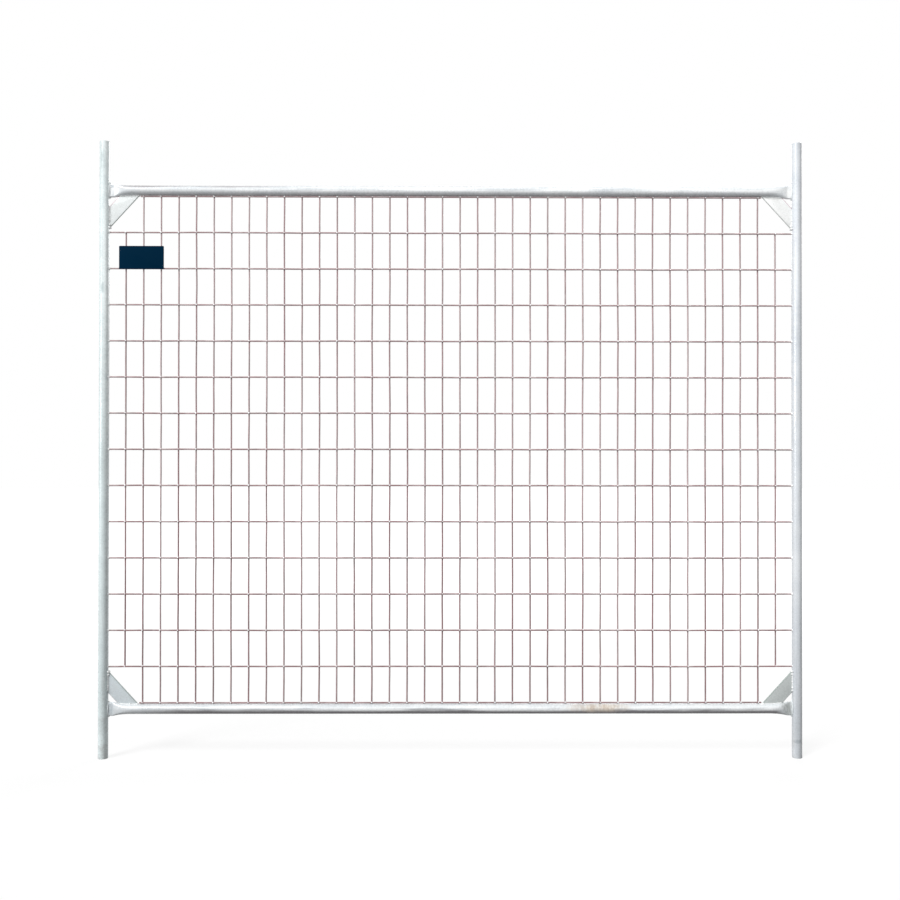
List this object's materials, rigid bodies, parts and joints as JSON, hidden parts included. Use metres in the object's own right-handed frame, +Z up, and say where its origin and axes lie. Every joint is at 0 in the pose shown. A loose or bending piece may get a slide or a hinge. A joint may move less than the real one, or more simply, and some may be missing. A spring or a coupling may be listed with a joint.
{
  "type": "temporary fence panel",
  "caption": "Welded galvanised temporary fence panel: round tube frame with crushed rail ends, flat bar corner gussets, wire mesh infill and post stubs that drop into feet.",
  "frame": {"origin": "on the ground, at the middle of the panel's width and thickness", "axes": "+X along the width to the right as seen from the front, +Y to the back, +Z up"},
  "size_m": [2.4, 0.0336, 2.1],
  "materials": {
    "galvanised_tube": "hot-dip galvanised, satin, with faint zinc spangle",
    "galvanised_bar": "hot-dip galvanised, satin",
    "galvanised_wire": "hot-dip galvanised, dull",
    "weld": "weld runs under the zinc coat, satin",
    "sign": "bare dark blue plate, satin"
  },
  "bodies": {
    "root": {"left_post": "galvanised_tube", "right_post": "galvanised_tube", "top_rail": "galvanised_tube", "bottom_rail": "galvanised_tube", "top_left_gusset": "galvanised_bar", "top_right_gusset": "galvanised_bar", "bottom_left_gusset": "galvanised_bar", "bottom_right_gusset": "galvanised_bar", "rail_welds": "weld", "gusset_welds": "weld", "sign_plate": "sign", "horizontal_wire_01": "galvanised_wire", "horizontal_wire_02": "galvanised_wire", "horizontal_wire_03": "galvanised_wire", "horizontal_wire_04": "galvanised_wire", "horizontal_wire_05": "galvanised_wire", "horizontal_wire_06": "galvanised_wire", "horizontal_wire_07": "galvanised_wire", "horizontal_wire_08": "galvanised_wire", "horizontal_wire_09": "galvanised_wire", "horizontal_wire_10": "galvanised_wire", "horizontal_wire_11": "galvanised_wire", "horizontal_wire_12": "galvanised_wire", "horizontal_wire_13": "galvanised_wire", "horizontal_wire_14": "galvanised_wire", "horizontal_wire_15": "galvanised_wire", "vertical_wire_pair_01": "galvanised_wire", "vertical_wire_pair_02": "galvanised_wire", "vertical_wire_pair_03": "galvanised_wire", "vertical_wire_pair_04": "galvanised_wire", "vertical_wire_pair_05": "galvanised_wire", "vertical_wire_pair_06": "galvanised_wire", "vertical_wire_pair_07": "galvanised_wire", "vertical_wire_pair_08": "galvanised_wire", "vertical_wire_pair_09": "galvanised_wire", "vertical_wire_pair_10": "galvanised_wire", "vertical_wire_pair_11": "galvanised_wire", "vertical_wire_pair_12": "galvanised_wire", "vertical_wire_pair_13": "galvanised_wire", "vertical_wire_pair_14": "galvanised_wire", "vertical_wire_pair_15": "galvanised_wire", "vertical_wire_pair_16": "galvanised_wire", "vertical_wire_pair_17": "galvanised_wire", "vertical_wire_pair_18": "galvanised_wire", "vertical_wire_pair_19": "galvanised_wire"}
  },
  "joints": []
}
